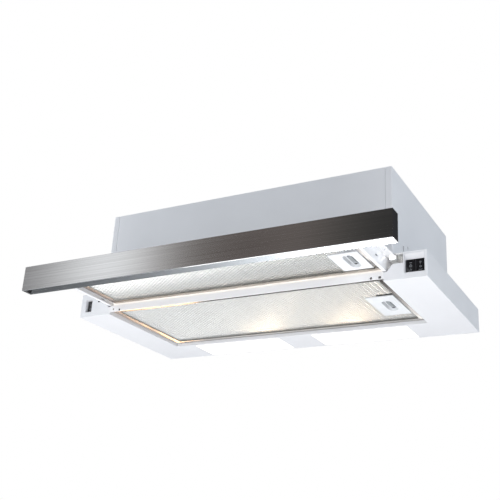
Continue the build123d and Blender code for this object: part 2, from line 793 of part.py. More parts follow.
with BuildPart() as glide_strips:
    for sign in (-1, 1):
        block(
            (sign * (rail_x + 4.5), sign * (guide_wall_x - 0.5)),
            (guide_y[0], guide_y[1] - 5),
            (guide_shelf + 1, strip_top),
        )
glide_strips.part.label = "glide_strips"
export_step(glide_strips.part, "parts/glide_strips.step")

with BuildPart() as drawer_microswitch:
    block((rail_x + 6, rail_x + 12), microswitch_y, microswitch_z)
    block((rail_x + 0.8, rail_x + 6), lever_y, lever_z)
drawer_microswitch.part.label = "drawer_microswitch"
export_step(drawer_microswitch.part, "parts/drawer_microswitch.step")

# ---- Drawer ----
rail_inner = rail_x - rail_t
rear_rail_y = drawer_filter_end + 1.5
rear_rail_top = -10.0
hem_h = 5.0
screw_head_t = 1.6
tab_heights = (-20.0, -7.5)
tab_screws = [(x, z) for x in both(tab_x) for z in tab_heights]
hook_y = (drawer_filter_front + 25, drawer_filter_end - 25)
hook_half = 6.0
flange_holes = (front_y - 24, front_y - 90)
bolt_z = (drawer_filter_z + bolt_low - loose, drawer_filter_z + bolt_high + loose)

for side, sign in (("left", -1), ("right", 1)):
    with BuildPart() as drawer_rail:
        block((sign * rail_inner, sign * rail_x), (rail_front, rail_rear), (rail_low, rail_high))
        block((sign * rail_x, sign * (rail_x + rail_flange)), (rail_front, rail_rear), (rail_high - rail_t, rail_high))
        block(
            (sign * rail_inner, sign * (rail_inner - rail_ledge)),
            (rail_front, rear_rail_y),
            (rail_low, rail_low + 1),
        )
        block((sign * tab_inner_x, sign * rail_inner), (rail_front, rail_front + rail_t), (rail_low + 1, rail_high - 1))
        rod("y", tab_screws, (rail_front, rail_front + rail_t), tab_hole_r, Mode.SUBTRACT)
        rod(
            "z",
            [(sign * (rail_x + flange_hole_x), y) for y in flange_holes],
            (rail_high - rail_t, rail_high),
            flange_hole_r,
            Mode.SUBTRACT,
        )
        if side == "left":
            for place in hook_y:
                block(
                    (-rail_inner, -rail_x),
                    (place - hook_half - 0.5, place + hook_half + 0.5),
                    (drawer_filter_z - 0.4, drawer_filter_z + 1.6),
                    Mode.SUBTRACT,
                )
        else:
            block(
                (rail_inner, rail_x),
                (drawer_handle_y - bolt_window_y, drawer_handle_y + bolt_window_y),
                bolt_z,
                Mode.SUBTRACT,
            )
    drawer_rail.part.label = f"drawer_rail_{side}"
    export_step(drawer_rail.part, f"parts/drawer_rail_{side}.step")

with BuildPart() as drawer_rear_rail:
    block(both(rail_inner), (rear_rail_y, rear_rail_y + sheet), (rail_low, rear_rail_top))
    block(both(rail_inner), (rear_rail_y + sheet, rear_rail_y + 11), (rail_low, rail_low + sheet))
drawer_rear_rail.part.label = "drawer_rear_rail"
export_step(drawer_rear_rail.part, "parts/drawer_rear_rail.step")

fascia_low = fascia_rise - fascia_h
with BuildPart() as fascia:
    block(both(half_w), (fascia_front, fascia_front + sheet), (fascia_low, fascia_rise))
    block(both(half_w), (fascia_front + sheet, fascia_rear), (fascia_rise - sheet, fascia_rise))
    for sign in (-1, 1):
        block((sign * (half_w - sheet), sign * half_w), (fascia_front + sheet, fascia_rear), (fascia_low, fascia_rise))
    # Hem folded up inside the bottom edge
    block(both(half_w - sheet), (fascia_front + sheet, fascia_front + 2 * sheet), (fascia_low, fascia_low + hem_h))
    front_edges = fascia.edges().filter_by(Axis.X).group_by(Axis.Y)[0]
    fillet(front_edges, radius=0.45 * sheet)
fascia.part.label = "fascia"
export_step(fascia.part, "parts/fascia.step")

with BuildPart() as fascia_rear_plate:
    block(both(half_w - sheet - seam), (fascia_rear - sheet, fascia_rear), (fascia_low, fascia_rise - sheet))
    block(
        both(half_w - sheet - seam),
        (fascia_front + 2 * sheet, fascia_rear - sheet),
        (fascia_rise - 2 * sheet, fascia_rise - sheet),
    )
    rod("y", tab_screws, (fascia_rear - sheet, fascia_rear), tab_hole_r, Mode.SUBTRACT)
fascia_rear_plate.part.label = "fascia_rear_plate"
export_step(fascia_rear_plate.part, "parts/fascia_rear_plate.step")

with BuildPart() as fascia_screws:
    rod("y", tab_screws, (fascia_rear - 2.5, fascia_rear + rail_t + screw_head_t), 1.9)
    rod("y", tab_screws, (fascia_rear + rail_t, fascia_rear + rail_t + screw_head_t), 3.4)
fascia_screws.part.label = "fascia_screws"
export_step(fascia_screws.part, "parts/fascia_screws.step")


# ---- Grease filters ----
def make_filter(name, front, rear, under, handle_y, handle_l, bolt_tip):
    """One cassette filter, flat, with its latch at the right end. Writes its mesh, handle plate and latch."""
    plate_right = filter_right - frame_w - 0.5
    plate_x = (plate_right - handle_w, plate_right)
    recess_x = sum(plate_x) / 2 + 2
    slider_x = (recess_x - 1.5, recess_x - 1.5 + slider_w)

    with BuildPart() as mesh:
        block(
            (filter_left + 1.2, filter_right - 1.2),
            (front + 1.2, rear - 1.2),
            (under + lip_t + 0.1, under + filter_t - lip_t - 0.1),
        )
        with BuildSketch(Plane.XY.offset(under)):
            with Locations((recess_x, handle_y)):
                SlotOverall(recess_l + 4, recess_w + 4, rotation=90)
        extrude(amount=filter_t, mode=Mode.SUBTRACT)
        block(
            (recess_x, filter_right),
            (handle_y - bolt_window_y, handle_y + bolt_window_y),
            (under + bolt_low - loose, under + bolt_high + loose),
            Mode.SUBTRACT,
        )
    mesh.part.label = f"{name}_mesh"
    export_step(mesh.part, f"parts/{name}_mesh.step")

    with BuildPart() as handle:
        block(plate_x, (handle_y - handle_l / 2, handle_y + handle_l / 2), (under - plate_proud, under + lip_t))
        with BuildSketch(Plane.XY.offset(under + lip_t)):
            with Locations((recess_x, handle_y)):
                SlotOverall(recess_l + 3, recess_w + 3, rotation=90)
        extrude(amount=recess_depth - lip_t + 1)
        with BuildSketch(Plane.XY.offset(under - plate_proud)):
            with Locations((recess_x, handle_y)):
                SlotOverall(recess_l, recess_w, rotation=90)
        extrude(amount=recess_depth + plate_proud, mode=Mode.SUBTRACT)
        block(
            (recess_x, recess_x + recess_w),
            (handle_y - bolt_w / 2 - 0.3, handle_y + bolt_w / 2 + 0.3),
            (under + bolt_low - 0.2, under + bolt_high + 0.2),
            Mode.SUBTRACT,
        )
    handle.part.label = f"{name}_handle"
    export_step(handle.part, f"parts/{name}_handle.step")

    with BuildPart() as latch:
        block(slider_x, (handle_y - slider_l / 2, handle_y + slider_l / 2), (under + 0.4, under + bolt_high))
        block(
            (slider_x[1], bolt_tip),
            (handle_y - bolt_w / 2, handle_y + bolt_w / 2),
            (under + bolt_low, under + bolt_high),
        )
    latch.part.label = f"{name}_latch"
    export_step(latch.part, f"parts/{name}_latch.step")


def frame_ring(front, rear, under, handle_y):
    """The filter's frame, a channel bent round all four sides and open towards the mesh."""
    block((filter_left, filter_right), (front, rear), (under, under + filter_t))
    block(
        (filter_left + frame_w, filter_right - frame_w),
        (front + frame_w, rear - frame_w),
        (under, under + filter_t),
        Mode.SUBTRACT,
    )
    block(
        (filter_left + 1, filter_right - 1),
        (front + 1, rear - 1),
        (under + lip_t, under + filter_t - lip_t),
        Mode.SUBTRACT,
    )
    block(
        (filter_right - 2, filter_right),
        (handle_y - bolt_window_y, handle_y + bolt_window_y),
        (under + bolt_low - loose, under + bolt_high + loose),
        Mode.SUBTRACT,
    )


with BuildPart() as rear_filter_frame:
    frame_ring(rear_filter_front, rear_filter_rear, rear_filter_z, rear_handle_y)
    # Hinge pins at the left end, one in the crossbar and one in the rear lip
    rod("y", [(filter_pivot_x, filter_pivot_z)], (front_y, rear_filter_front + 1), pivot_r)
    rod("y", [(filter_pivot_x, filter_pivot_z)], (rear_filter_rear - 1, opening_rear + 1.6), pivot_r)
rear_filter_frame.part.label = "rear_filter_frame"
export_step(rear_filter_frame.part, "parts/rear_filter_frame.step")
make_filter(
    "rear_filter",
    rear_filter_front,
    rear_filter_rear,
    rear_filter_z,
    rear_handle_y,
    rear_handle_l,
    opening_half + 2.5,
)

with BuildPart() as drawer_filter_frame:
    frame_ring(drawer_filter_front, drawer_filter_end, drawer_filter_z, drawer_handle_y)
    # Hooks at the left end, through slots in the rail
    for place in hook_y:
        block(
            (filter_left, -rail_x - 1),
            (place - hook_half, place + hook_half),
            (drawer_filter_z, drawer_filter_z + 1.2),
        )
drawer_filter_frame.part.label = "drawer_filter_frame"
export_step(drawer_filter_frame.part, "parts/drawer_filter_frame.step")
make_filter(
    "drawer_filter",
    drawer_filter_front,
    drawer_filter_end,
    drawer_filter_z,
    drawer_handle_y,
    drawer_handle_l,
    rail_x + 1.5,
)
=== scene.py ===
import json
import math

import bmesh
import bpy
from mathutils import Matrix, Vector


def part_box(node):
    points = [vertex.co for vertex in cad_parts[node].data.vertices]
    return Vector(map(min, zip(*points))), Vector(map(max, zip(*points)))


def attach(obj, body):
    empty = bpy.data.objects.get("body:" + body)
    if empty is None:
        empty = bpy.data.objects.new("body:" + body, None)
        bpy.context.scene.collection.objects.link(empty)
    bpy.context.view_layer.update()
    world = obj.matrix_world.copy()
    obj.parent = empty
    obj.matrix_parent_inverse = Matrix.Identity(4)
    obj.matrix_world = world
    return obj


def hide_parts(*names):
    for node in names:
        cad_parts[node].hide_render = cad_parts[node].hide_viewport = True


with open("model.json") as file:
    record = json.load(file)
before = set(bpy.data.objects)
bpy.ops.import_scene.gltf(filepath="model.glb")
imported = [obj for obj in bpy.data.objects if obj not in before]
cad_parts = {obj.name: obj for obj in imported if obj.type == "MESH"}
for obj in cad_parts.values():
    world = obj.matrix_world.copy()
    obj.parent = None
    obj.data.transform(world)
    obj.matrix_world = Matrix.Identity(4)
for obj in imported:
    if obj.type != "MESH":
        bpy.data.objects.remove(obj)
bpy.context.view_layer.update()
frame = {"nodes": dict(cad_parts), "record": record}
mm = 0.001


# ---- Materials ----
def new_material(name, colour, roughness=0.5, metallic=0.0, **sockets):
    """A Principled material. Sockets are further inputs by name, with _ for a space."""
    made = bpy.data.materials.new(name)
    made.use_nodes = True
    shader = made.node_tree.nodes["Principled BSDF"]
    shader.inputs["Base Color"].default_value = (*colour, 1.0)
    shader.inputs["Roughness"].default_value = roughness
    shader.inputs["Metallic"].default_value = metallic
    for socket, value in sockets.items():
        shader.inputs[socket.replace("_", " ")].default_value = value
    return made


def pattern(made, kind, scale, stretch=(1.0, 1.0, 1.0), detail=4.0, output="Fac"):
    """A procedural texture in object metres. Kind is NOISE, VORONOI or WAVE."""
    tree = made.node_tree
    place = tree.nodes.new("ShaderNodeTexCoord")
    mapping = tree.nodes.new("ShaderNodeMapping")
    mapping.inputs["Scale"].default_value = stretch
    tree.links.new(place.outputs["Object"], mapping.inputs["Vector"])
    kinds = {"NOISE": "ShaderNodeTexNoise", "VORONOI": "ShaderNodeTexVoronoi", "WAVE": "ShaderNodeTexWave"}
    texture = tree.nodes.new(kinds[kind])
    texture.inputs["Scale"].default_value = scale
    if kind != "VORONOI":
        texture.inputs["Detail"].default_value = detail
    tree.links.new(mapping.outputs["Vector"], texture.inputs["Vector"])
    return texture.outputs[output]


def tint(made, source, dark, light, low=0.3, high=0.7):
    """The base colour runs from dark to light as the source goes from low to high."""
    tree = made.node_tree
    ramp = tree.nodes.new("ShaderNodeValToRGB")
    ramp.color_ramp.elements[0].position = low
    ramp.color_ramp.elements[0].color = (*dark, 1.0)
    ramp.color_ramp.elements[1].position = high
    ramp.color_ramp.elements[1].color = (*light, 1.0)
    tree.links.new(source, ramp.inputs["Fac"])
    tree.links.new(ramp.outputs["Color"], tree.nodes["Principled BSDF"].inputs["Base Color"])


def spread(made, source, low, high, socket="Roughness"):
    """A shader socket runs from low to high with the source."""
    tree = made.node_tree
    span = tree.nodes.new("ShaderNodeMapRange")
    span.inputs["From Min"].default_value = 0.3
    span.inputs["From Max"].default_value = 0.7
    span.inputs["To Min"].default_value = low
    span.inputs["To Max"].default_value = high
    tree.links.new(source, span.inputs["Value"])
    tree.links.new(span.outputs["Result"], tree.nodes["Principled BSDF"].inputs[socket])


def relief(made, source, height, strength=0.5):
    """Fine relief of a height in metres, stacked on any relief already there."""
    tree = made.node_tree
    shader = tree.nodes["Principled BSDF"]
    bump = tree.nodes.new("ShaderNodeBump")
    bump.inputs["Strength"].default_value = strength
    bump.inputs["Distance"].default_value = height
    tree.links.new(source, bump.inputs["Height"])
    if shader.inputs["Normal"].links:
        tree.links.new(shader.inputs["Normal"].links[0].from_socket, bump.inputs["Normal"])
    tree.links.new(bump.outputs["Normal"], shader.inputs["Normal"])


def scaled(colour, factor):
    return tuple(min(1.0, channel * factor) for channel in colour)


def powder_coat(name, colour, roughness=0.38):
    made = new_material(name, colour, roughness, Coat_Weight=0.25, Coat_Roughness=0.25)
    tint(made, pattern(made, "NOISE", 7.0), scaled(colour, 0.965), scaled(colour, 1.02))
    spread(made, pattern(made, "NOISE", 60.0), roughness - 0.05, roughness + 0.07)
    relief(made, pattern(made, "NOISE", 900.0, detail=2.0), 0.00006, 0.35)
    return made


def brushed_metal(name, colour, grain, roughness=0.3, depth=0.4):
    """Metal with a grain along one axis: grain is the stretch that leaves that axis long."""
    made = new_material(name, colour, roughness, 1.0)
    fine = pattern(made, "NOISE", 1.0, grain, detail=6.0)
    tint(made, fine, scaled(colour, 0.88), scaled(colour, 1.1))
    spread(made, pattern(made, "NOISE", 0.6, grain, detail=3.0), 0.8 * roughness, 1.3 * roughness)
    relief(made, fine, 0.00004, depth)
    return made


def painted_shade_sheet(name, dark, light, grain):
    """A dull sheet whose dark, even grey base colour is painted shade, standing in for the dark reflections
    inside a channel, with a faint grain.
    """
    made = new_material(name, light, 0.45)
    tint(made, pattern(made, "NOISE", 1.0, grain), dark, light)
    spread(made, pattern(made, "NOISE", 40.0), 0.4, 0.5)
    relief(made, pattern(made, "NOISE", 1.0, grain), 0.00003, 0.2)
    return made


def galvanised(name, colour):
    made = new_material(name, colour, 0.42, 0.9)
    flakes = pattern(made, "VORONOI", 160.0, output="Color")
    tint(made, flakes, scaled(colour, 0.82), scaled(colour, 1.12), 0.1, 0.9)
    spread(made, pattern(made, "NOISE", 90.0), 0.32, 0.55)
    relief(made, pattern(made, "NOISE", 700.0), 0.00003, 0.3)
    return made


def moulded(name, colour, roughness, grain=1400.0, depth=0.4, coat=0.0):
    made = new_material(name, colour, roughness, Coat_Weight=coat, Coat_Roughness=0.08)
    tint(made, pattern(made, "NOISE", 25.0), scaled(colour, 0.94), scaled(colour, 1.05))
    spread(made, pattern(made, "NOISE", 220.0), roughness - 0.05, roughness + 0.06)
    relief(made, pattern(made, "VORONOI", grain, output="Distance"), 0.00004, depth)
    return made


def lit(name, colour, glow, strength, grain):
    made = new_material(name, colour, 0.35, Emission_Strength=strength)
    made.node_tree.nodes["Principled BSDF"].inputs["Emission Color"].default_value = (*glow, 1.0)
    tint(made, pattern(made, "NOISE", 40.0), scaled(colour, 0.96), colour)
    spread(made, pattern(made, "NOISE", 150.0), 0.28, 0.45)
    relief(made, pattern(made, "WAVE", grain, (1.0, 0.0, 0.0), detail=0.5), 0.0002, 0.6)
    return made


# Grain: the stretch of a pattern that leaves one axis long
along_x = (6.0, 900.0, 900.0)
along_y = (900.0, 6.0, 900.0)
fascia_grain = (3.0, 1600.0, 1600.0)
no_grain = (300.0, 300.0, 300.0)
painted = powder_coat("powder_coat", (0.87, 0.873, 0.89))
stainless = brushed_metal("brushed_stainless", (0.60, 0.595, 0.59), fascia_grain, 0.11, 0.05)
zinc = galvanised("galvanised_sheet", (0.66, 0.68, 0.70))
fastener = brushed_metal("bright_zinc", (0.74, 0.75, 0.77), no_grain, 0.22, 0.2)
aluminium = brushed_metal("mill_aluminium", (0.46, 0.44, 0.42), (40.0, 40.0, 900.0), 0.2, 0.06)
mesh_metal = brushed_metal("expanded_aluminium", (0.97, 0.94, 0.90), (240.0, 240.0, 240.0), 0.38, 0.2)
handle_white = moulded("satin_white_plastic", (0.80, 0.815, 0.83), 0.42)
latch_grey = moulded("satin_grey_plastic", (0.34, 0.36, 0.37), 0.4)
white_plastic = moulded("white_plastic", (0.88, 0.88, 0.9), 0.45)
black_plastic = moulded("black_plastic", (0.03, 0.03, 0.033), 0.45)
rocker_black = moulded("gloss_black_plastic", (0.012, 0.012, 0.014), 0.16, 900.0, 0.1, 0.6)
blower_plastic = moulded("blower_plastic", (0.40, 0.41, 0.43), 0.5)
motor_paint = powder_coat("motor_paint", (0.46, 0.47, 0.49), 0.45)
brass = brushed_metal("brass", (0.78, 0.58, 0.28), no_grain, 0.25, 0.2)
reflector_metal = brushed_metal("bright_reflector", (0.92, 0.92, 0.9), (120.0, 120.0, 120.0), 0.16, 0.2)
ceramic = moulded("glazed_ceramic", (0.86, 0.85, 0.82), 0.3, 500.0, 0.2, 0.4)
bulb_glass = lit("lit_frosted_glass", (1.0, 0.94, 0.82), (1.0, 0.80, 0.52), 9.0, 60.0)
lens_glass = lit("lit_lens", (0.98, 0.97, 0.93), (1.0, 0.93, 0.80), 0.9, 260.0)

core_metal = brushed_metal("pleated_aluminium", (0.78, 0.79, 0.77), along_y, 0.45, 0.5)
# The fascia's rear plate: its near-black base colour is painted shade for the dark reflections inside the
# fascia's channel
plate_painted_shade = painted_shade_sheet("stainless_painted_shade", (0.067, 0.07, 0.074), (0.074, 0.078, 0.082), along_x)
mark_paint = moulded("mark_paint", (0.24, 0.25, 0.26), 0.5, 900.0, 0.1)

finishes = {
    "painted_steel": painted,
    "stainless": stainless,
    "galvanised": zinc,
    "fastener": fastener,
    "filter_aluminium": aluminium,
    "filter_mesh": mesh_metal,
    "handle_plastic": handle_white,
    "latch_plastic": latch_grey,
    "white_plastic": white_plastic,
    "black_plastic": black_plastic,
    "rocker_plastic": rocker_black,
    "blower_plastic": blower_plastic,
    "motor_metal": motor_paint,
    "terminal_brass": brass,
    "reflector": reflector_metal,
    "lamp_socket": ceramic,
    "bulb_glass": bulb_glass,
    "diffuser": lens_glass,
}


def finish(obj, made):
    obj.data.materials.clear()
    obj.data.materials.append(made)


slot_of = {row["node"]: row["material_slot"] for row in frame["record"]["subparts"]}
body_of = {}
for body, members in frame["record"]["behaviour"]["bodies"].items():
    for name in members:
        body_of[name] = body
for name, obj in frame["nodes"].items():
    finish(obj, finishes[slot_of[name]])


# ---- Making pieces ----


def piece(name, mesh, body, slot, *nodes, made=None):
    """A mesh as a piece that rides on a body, takes a slot's finish and stands for the CAD nodes named."""
    obj = bpy.data.objects.new(name, mesh)
    bpy.context.scene.collection.objects.link(obj)
    finish(obj, made or finishes[slot])
    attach(obj, body)
    if nodes:
        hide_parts(*nodes)
    return obj


def from_bmesh(name, shape):
    """A mesh from a bmesh, which is freed."""
    bmesh.ops.recalc_face_normals(shape, faces=shape.faces)
    mesh = bpy.data.meshes.new(name)
    shape.to_mesh(mesh)
    shape.free()
    return mesh


def smooth(obj, angle=32.0):
    """Smooth shading, with edges sharper than the angle kept."""
    for polygon in obj.data.polygons:
        polygon.use_smooth = True
    obj.data.set_sharp_from_angle(angle=math.radians(angle))
    weighted = obj.modifiers.new("weighted", "WEIGHTED_NORMAL")
    weighted.keep_sharp = True


def softened(node, width, outer_only=False, segments=2):
    """A CAD node's own shape with its sharp edges rounded, or only those along the sides of its box."""
    low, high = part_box(node)
    shape = bmesh.new()
    shape.from_mesh(frame["nodes"][node].data)
    bmesh.ops.remove_doubles(shape, verts=shape.verts, dist=1e-6)
    bmesh.ops.dissolve_limit(shape, angle_limit=math.radians(1.0), verts=shape.verts, edges=shape.edges)

    def sides(edge):
        count = 0
        for axis in range(3):
            for level in (low[axis], high[axis]):
                if all(abs(vertex.co[axis] - level) < 1e-5 for vertex in edge.verts):
                    count += 1
        return count

    chosen = []
    for edge in shape.edges:
        if len(edge.link_faces) == 2 and edge.calc_face_angle(0.0) > math.radians(40):
            if not outer_only or sides(edge) == 2:
                chosen.append(edge)
    bmesh.ops.bevel(
        shape, geom=chosen, offset=width, segments=segments, profile=0.5, affect="EDGES", clamp_overlap=True
    )
    obj = piece(node + "_formed", from_bmesh(node, shape), body_of[node], slot_of[node], node)
    smooth(obj)
    return obj


def swept_ring(name, left, right, front, rear, base, profile):
    """A closed profile swept round a rectangle. Profile points are (inset from the side, height)."""
    shape = bmesh.new()
    rings = []
    for inset, height in profile:
        corners = (
            (left + inset, front + inset),
            (right - inset, front + inset),
            (right - inset, rear - inset),
            (left + inset, rear - inset),
        )
        rings.append([shape.verts.new((x, y, base + height)) for x, y in corners])
    for index, ring in enumerate(rings):
        after = rings[(index + 1) % len(rings)]
        for corner in range(4):
            turn = (corner + 1) % 4
            shape.faces.new((ring[corner], ring[turn], after[turn], after[corner]))
    return shape


def add_rod(shape, axis, place, low, high, radius, dome=0.0, steps=20):
    """A round bar with slightly domed ends in a bmesh. Place is its other two coordinates."""
    rings = []
    stations = ((low, radius - dome), (low + dome, radius), (high - dome, radius), (high, radius - dome))
    for along, size in stations:
        ring = []
        for step in range(steps):
            angle = 2 * math.pi * step / steps
            u, v = place[0] + size * math.cos(angle), place[1] + size * math.sin(angle)
            where = {"x": (along, u, v), "y": (u, along, v), "z": (u, v, along)}[axis]
            ring.append(shape.verts.new(where))
        rings.append(ring)
    for first, second in zip(rings, rings[1:]):
        for step in range(steps):
            turn = (step + 1) % steps
            shape.faces.new((first[step], first[turn], second[turn], second[step]))
    shape.faces.new(rings[0][::-1])
    shape.faces.new(rings[-1])


def add_block(shape, x, y, z, round_off=0.0):
    """A block in a bmesh, with its edges rounded by round_off."""
    middle = Vector(((x[0] + x[1]) / 2, (y[0] + y[1]) / 2, (z[0] + z[1]) / 2))
    made = bmesh.ops.create_cube(shape, size=1.0, matrix=Matrix.Translation(middle))
    for vertex in made["verts"]:
        for axis, ends in enumerate((x, y, z)):
            vertex.co[axis] = middle[axis] + (vertex.co[axis] - middle[axis]) * abs(ends[1] - ends[0])
    if round_off:
        edges = {edge for vertex in made["verts"] for edge in vertex.link_edges}
        bmesh.ops.bevel(shape, geom=list(edges), offset=round_off, segments=3, profile=0.5, affect="EDGES")


def add_prism(shape, outline, low, high, axis="y"):
    """A prism in a bmesh. Outline points are (x, z) for axis y, or (x, y) for axis z."""
    ends = []
    for level in (low, high):
        if axis == "y":
            ends.append([shape.verts.new((u, level, v)) for u, v in outline])
        else:
            ends.append([shape.verts.new((u, v, level)) for u, v in outline])
    count = len(outline)
    shape.faces.new(ends[0])
    shape.faces.new(ends[1][::-1])
    for step in range(count):
        turn = (step + 1) % count
        shape.faces.new((ends[0][step], ends[0][turn], ends[1][turn], ends[1][step]))


# ---- Grease filters ----
cell_w = 3.8 * mm  # expanded mesh, side to side
cell_l = 6.0 * mm  # front to back
bond_w = 0.9 * mm  # where two strands meet
bond_l = 1.5 * mm
strand_t = 0.28 * mm
foil_t = 0.2 * mm  # the pleated core's sheet
face_level, core_level, back_level = 3.0 * mm, 4.3 * mm, 6.25 * mm  # layers over the frame's underside
face_wave, core_wave, back_wave = 0.22 * mm, 0.55 * mm, 0.2 * mm  # half the height of each layer's ripple
frame_overlap = 1.2 * mm  # the frame's outer face, past the CAD mesh
layer_gap = 1.5 * mm  # the frame's outer face to the layers' edges
pin_r, pin_dome, pin_root = 1.5 * mm, 0.3 * mm, 1.0 * mm
tab_inset, tab_half, tab_t, tab_root = 25 * mm, 6 * mm, 1.2 * mm, 0.6 * mm
bolt_bottom, bolt_top = 3.1 * mm, 5.2 * mm  # the window in the frame that the latch's bolt goes through
window_half = 3.5 * mm
recess_left = 198 * mm  # the layers are cut away behind the handle plate from here on
plate_overlap = 2 * mm
slot_overlap, slot_half = 3 * mm, 5.5 * mm
hinge = next(row for row in frame["record"]["behaviour"]["joints"] if row["name"] == "rear_filter_drop")
pin_x, _, pin_z = hinge["pos_m"]
# The folded frame in section, in mm: (inset from the outer face, height)
frame_profile = [
    (point[0] * mm, point[1] * mm)
    for point in (
        (0.0, 1.0), (0.3, 0.3), (0.9, 0.0), (1.5, 0.1), (7.3, 0.9), (7.8, 1.0), (8.0, 1.2), (7.8, 1.4),
        (7.3, 1.5), (1.5, 0.8), (0.9, 1.3), (0.9, 6.2), (1.5, 6.7), (7.4, 6.5), (8.0, 6.9), (7.6, 7.35),
        (1.1, 7.5), (0.3, 7.15), (0.0, 6.4),
    )
]


def in_hole(holes, x, y):
    return any(hole[0] < x < hole[1] and hole[2] < y < hole[3] for hole in holes)


def expanded_layer(name, x, y, level, wide, long, holes, wave):
    """Expanded metal: bonds in staggered columns joined by strands, as one sheet of strand_t."""
    columns = int((x[1] - x[0]) / wide)
    rows = int((y[1] - y[0]) / long) - 1
    start_x = x[0] + ((x[1] - x[0]) - columns * wide) / 2
    start_y = y[0] + ((y[1] - y[0]) - (rows + 0.5) * long) / 2 + long / 2
    points, faces, bonds = [], [], {}
    half_w, half_l = bond_w * wide / cell_w / 2, bond_l * long / cell_l / 2
    for column in range(columns + 1):
        middle_x = start_x + column * wide
        shift = 0.5 * long if column % 2 else 0.0
        for row in range(rows + 1):
            middle_y = start_y + row * long + shift
            if middle_y > y[1] - half_l or middle_x < x[0] + half_w or middle_x > x[1] - half_w:
                continue
            if in_hole(holes, middle_x, middle_y):
                continue
            first = len(points)
            lift = wave if column % 2 else -wave
            for side in (-half_w, half_w):
                for end in (-half_l, 0.0, half_l):
                    tilt = 0.12 * mm * (1 if side > 0 else -1)
                    points.append((middle_x + side, middle_y + end, level + lift + tilt))
            bonds[column, row] = first
            faces.append((first, first + 3, first + 4, first + 1))
            faces.append((first + 1, first + 4, first + 5, first + 2))
    for (column, row), first in bonds.items():
        upper = bonds.get((column + 1, row if column % 2 == 0 else row + 1))
        lower = bonds.get((column + 1, row - 1 if column % 2 == 0 else row))
        if upper is not None:
            faces.append((first + 4, upper, upper + 1, first + 5))
        if lower is not None:
            faces.append((first + 3, lower + 1, lower + 2, first + 4))
    mesh = bpy.data.meshes.new(name)
    mesh.from_pydata(points, [], faces)
    return mesh


def pleated_layer(name, x, y, level, pitch, height, holes):
    """A thin sheet folded into small rounded pleats that run front to back, cut away round the holes."""
    steps = 6
    count = int((x[1] - x[0]) / pitch * steps)
    shape = bmesh.new()
    lines = sorted({*y, *(hole[2] for hole in holes), *(hole[3] for hole in holes)})
    grid = []
    for index in range(count + 1):
        place = x[0] + (x[1] - x[0]) * index / count
        lift = height * math.sin(2 * math.pi * (place - x[0]) / pitch)
        grid.append([shape.verts.new((place, line, level + lift)) for line in lines])
    for index in range(count):
        middle = (grid[index][0].co.x + grid[index + 1][0].co.x) / 2
        for line in range(len(lines) - 1):
            if in_hole(holes, middle, (lines[line] + lines[line + 1]) / 2):
                continue
            here, ahead = grid[index], grid[index + 1]
            shape.faces.new((here[line], ahead[line], ahead[line + 1], here[line + 1]))
    return from_bmesh(name, shape)


def solidify(obj, thickness):
    wall = obj.modifiers.new("wall", "SOLIDIFY")
    wall.thickness = thickness
    wall.offset = 0.0


def build_filter(name, left_pins):
    """The frame and mesh of one grease filter, cut away round its handle, from the boxes of its CAD nodes."""
    low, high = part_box(name + "_frame")
    plate_low, plate_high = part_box(name + "_handle")
    inner_low, inner_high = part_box(name + "_mesh")
    body = body_of[name + "_frame"]
    left, right = inner_low.x - frame_overlap, inner_high.x + frame_overlap
    front, rear = inner_low.y - frame_overlap, inner_high.y + frame_overlap
    base = low.z
    shape = swept_ring(name, left, right, front, rear, base, frame_profile)
    if left_pins:
        for start, end in ((low.y, front + pin_root), (rear - pin_root, high.y)):
            add_rod(shape, "y", (pin_x, pin_z), start, end, pin_r, pin_dome)
    else:
        for place in (front + tab_inset, rear - tab_inset):
            along = (place - tab_half, place + tab_half)
            add_block(shape, (low.x, left + tab_root), along, (base, base + tab_t), 0.3 * mm)
    folded = from_bmesh(name, shape)
    frame_piece = piece(name + "_frame_folded", folded, body, "filter_aluminium", name + "_frame")
    smooth(frame_piece, 40.0)
    handle_y = (plate_low.y + plate_high.y) / 2
    window = bmesh.new()
    add_block(
        window,
        (right - 4 * mm, right + 1 * mm),
        (handle_y - window_half, handle_y + window_half),
        (base + bolt_bottom, base + bolt_top),
    )
    cutter = bpy.data.objects.new(name + "_window", from_bmesh(name + "_window", window))
    bpy.context.scene.collection.objects.link(cutter)
    cut = frame_piece.modifiers.new("window", "BOOLEAN")
    cut.operation = "DIFFERENCE"
    cut.object = cutter
    bake(frame_piece)
    bpy.data.objects.remove(cutter)
    plate_ends = (recess_left - plate_overlap, plate_high.x - plate_overlap)
    holes = (
        (*plate_ends, plate_low.y + plate_overlap, plate_high.y - plate_overlap),
        (plate_high.x - slot_overlap, right, handle_y - slot_half, handle_y + slot_half),
    )
    x, y = (left + layer_gap, right - layer_gap), (front + layer_gap, rear - layer_gap)
    lower = piece(
        name + "_expanded_face",
        expanded_layer(name, x, y, base + face_level, cell_w, cell_l, holes, face_wave),
        body,
        "filter_mesh",
        name + "_mesh",
    )
    solidify(lower, strand_t)
    upper = piece(
        name + "_expanded_back",
        expanded_layer(name, x, y, base + back_level, 2 * cell_w, 2 * cell_l, holes, back_wave),
        body,
        "filter_mesh",
    )
    solidify(upper, strand_t)
    core = piece(
        name + "_pleated_core",
        pleated_layer(name, x, y, base + core_level, cell_w, core_wave, holes),
        body,
        "filter_mesh",
        made=core_metal,
    )
    solidify(core, foil_t)
    smooth(core, 60.0)


def bake(obj):
    """Applies an object's modifiers to its mesh."""
    bpy.context.view_layer.update()
    evaluated = obj.evaluated_get(bpy.context.evaluated_depsgraph_get())
    mesh = bpy.data.meshes.new_from_object(evaluated)
    obj.modifiers.clear()
    obj.data = mesh


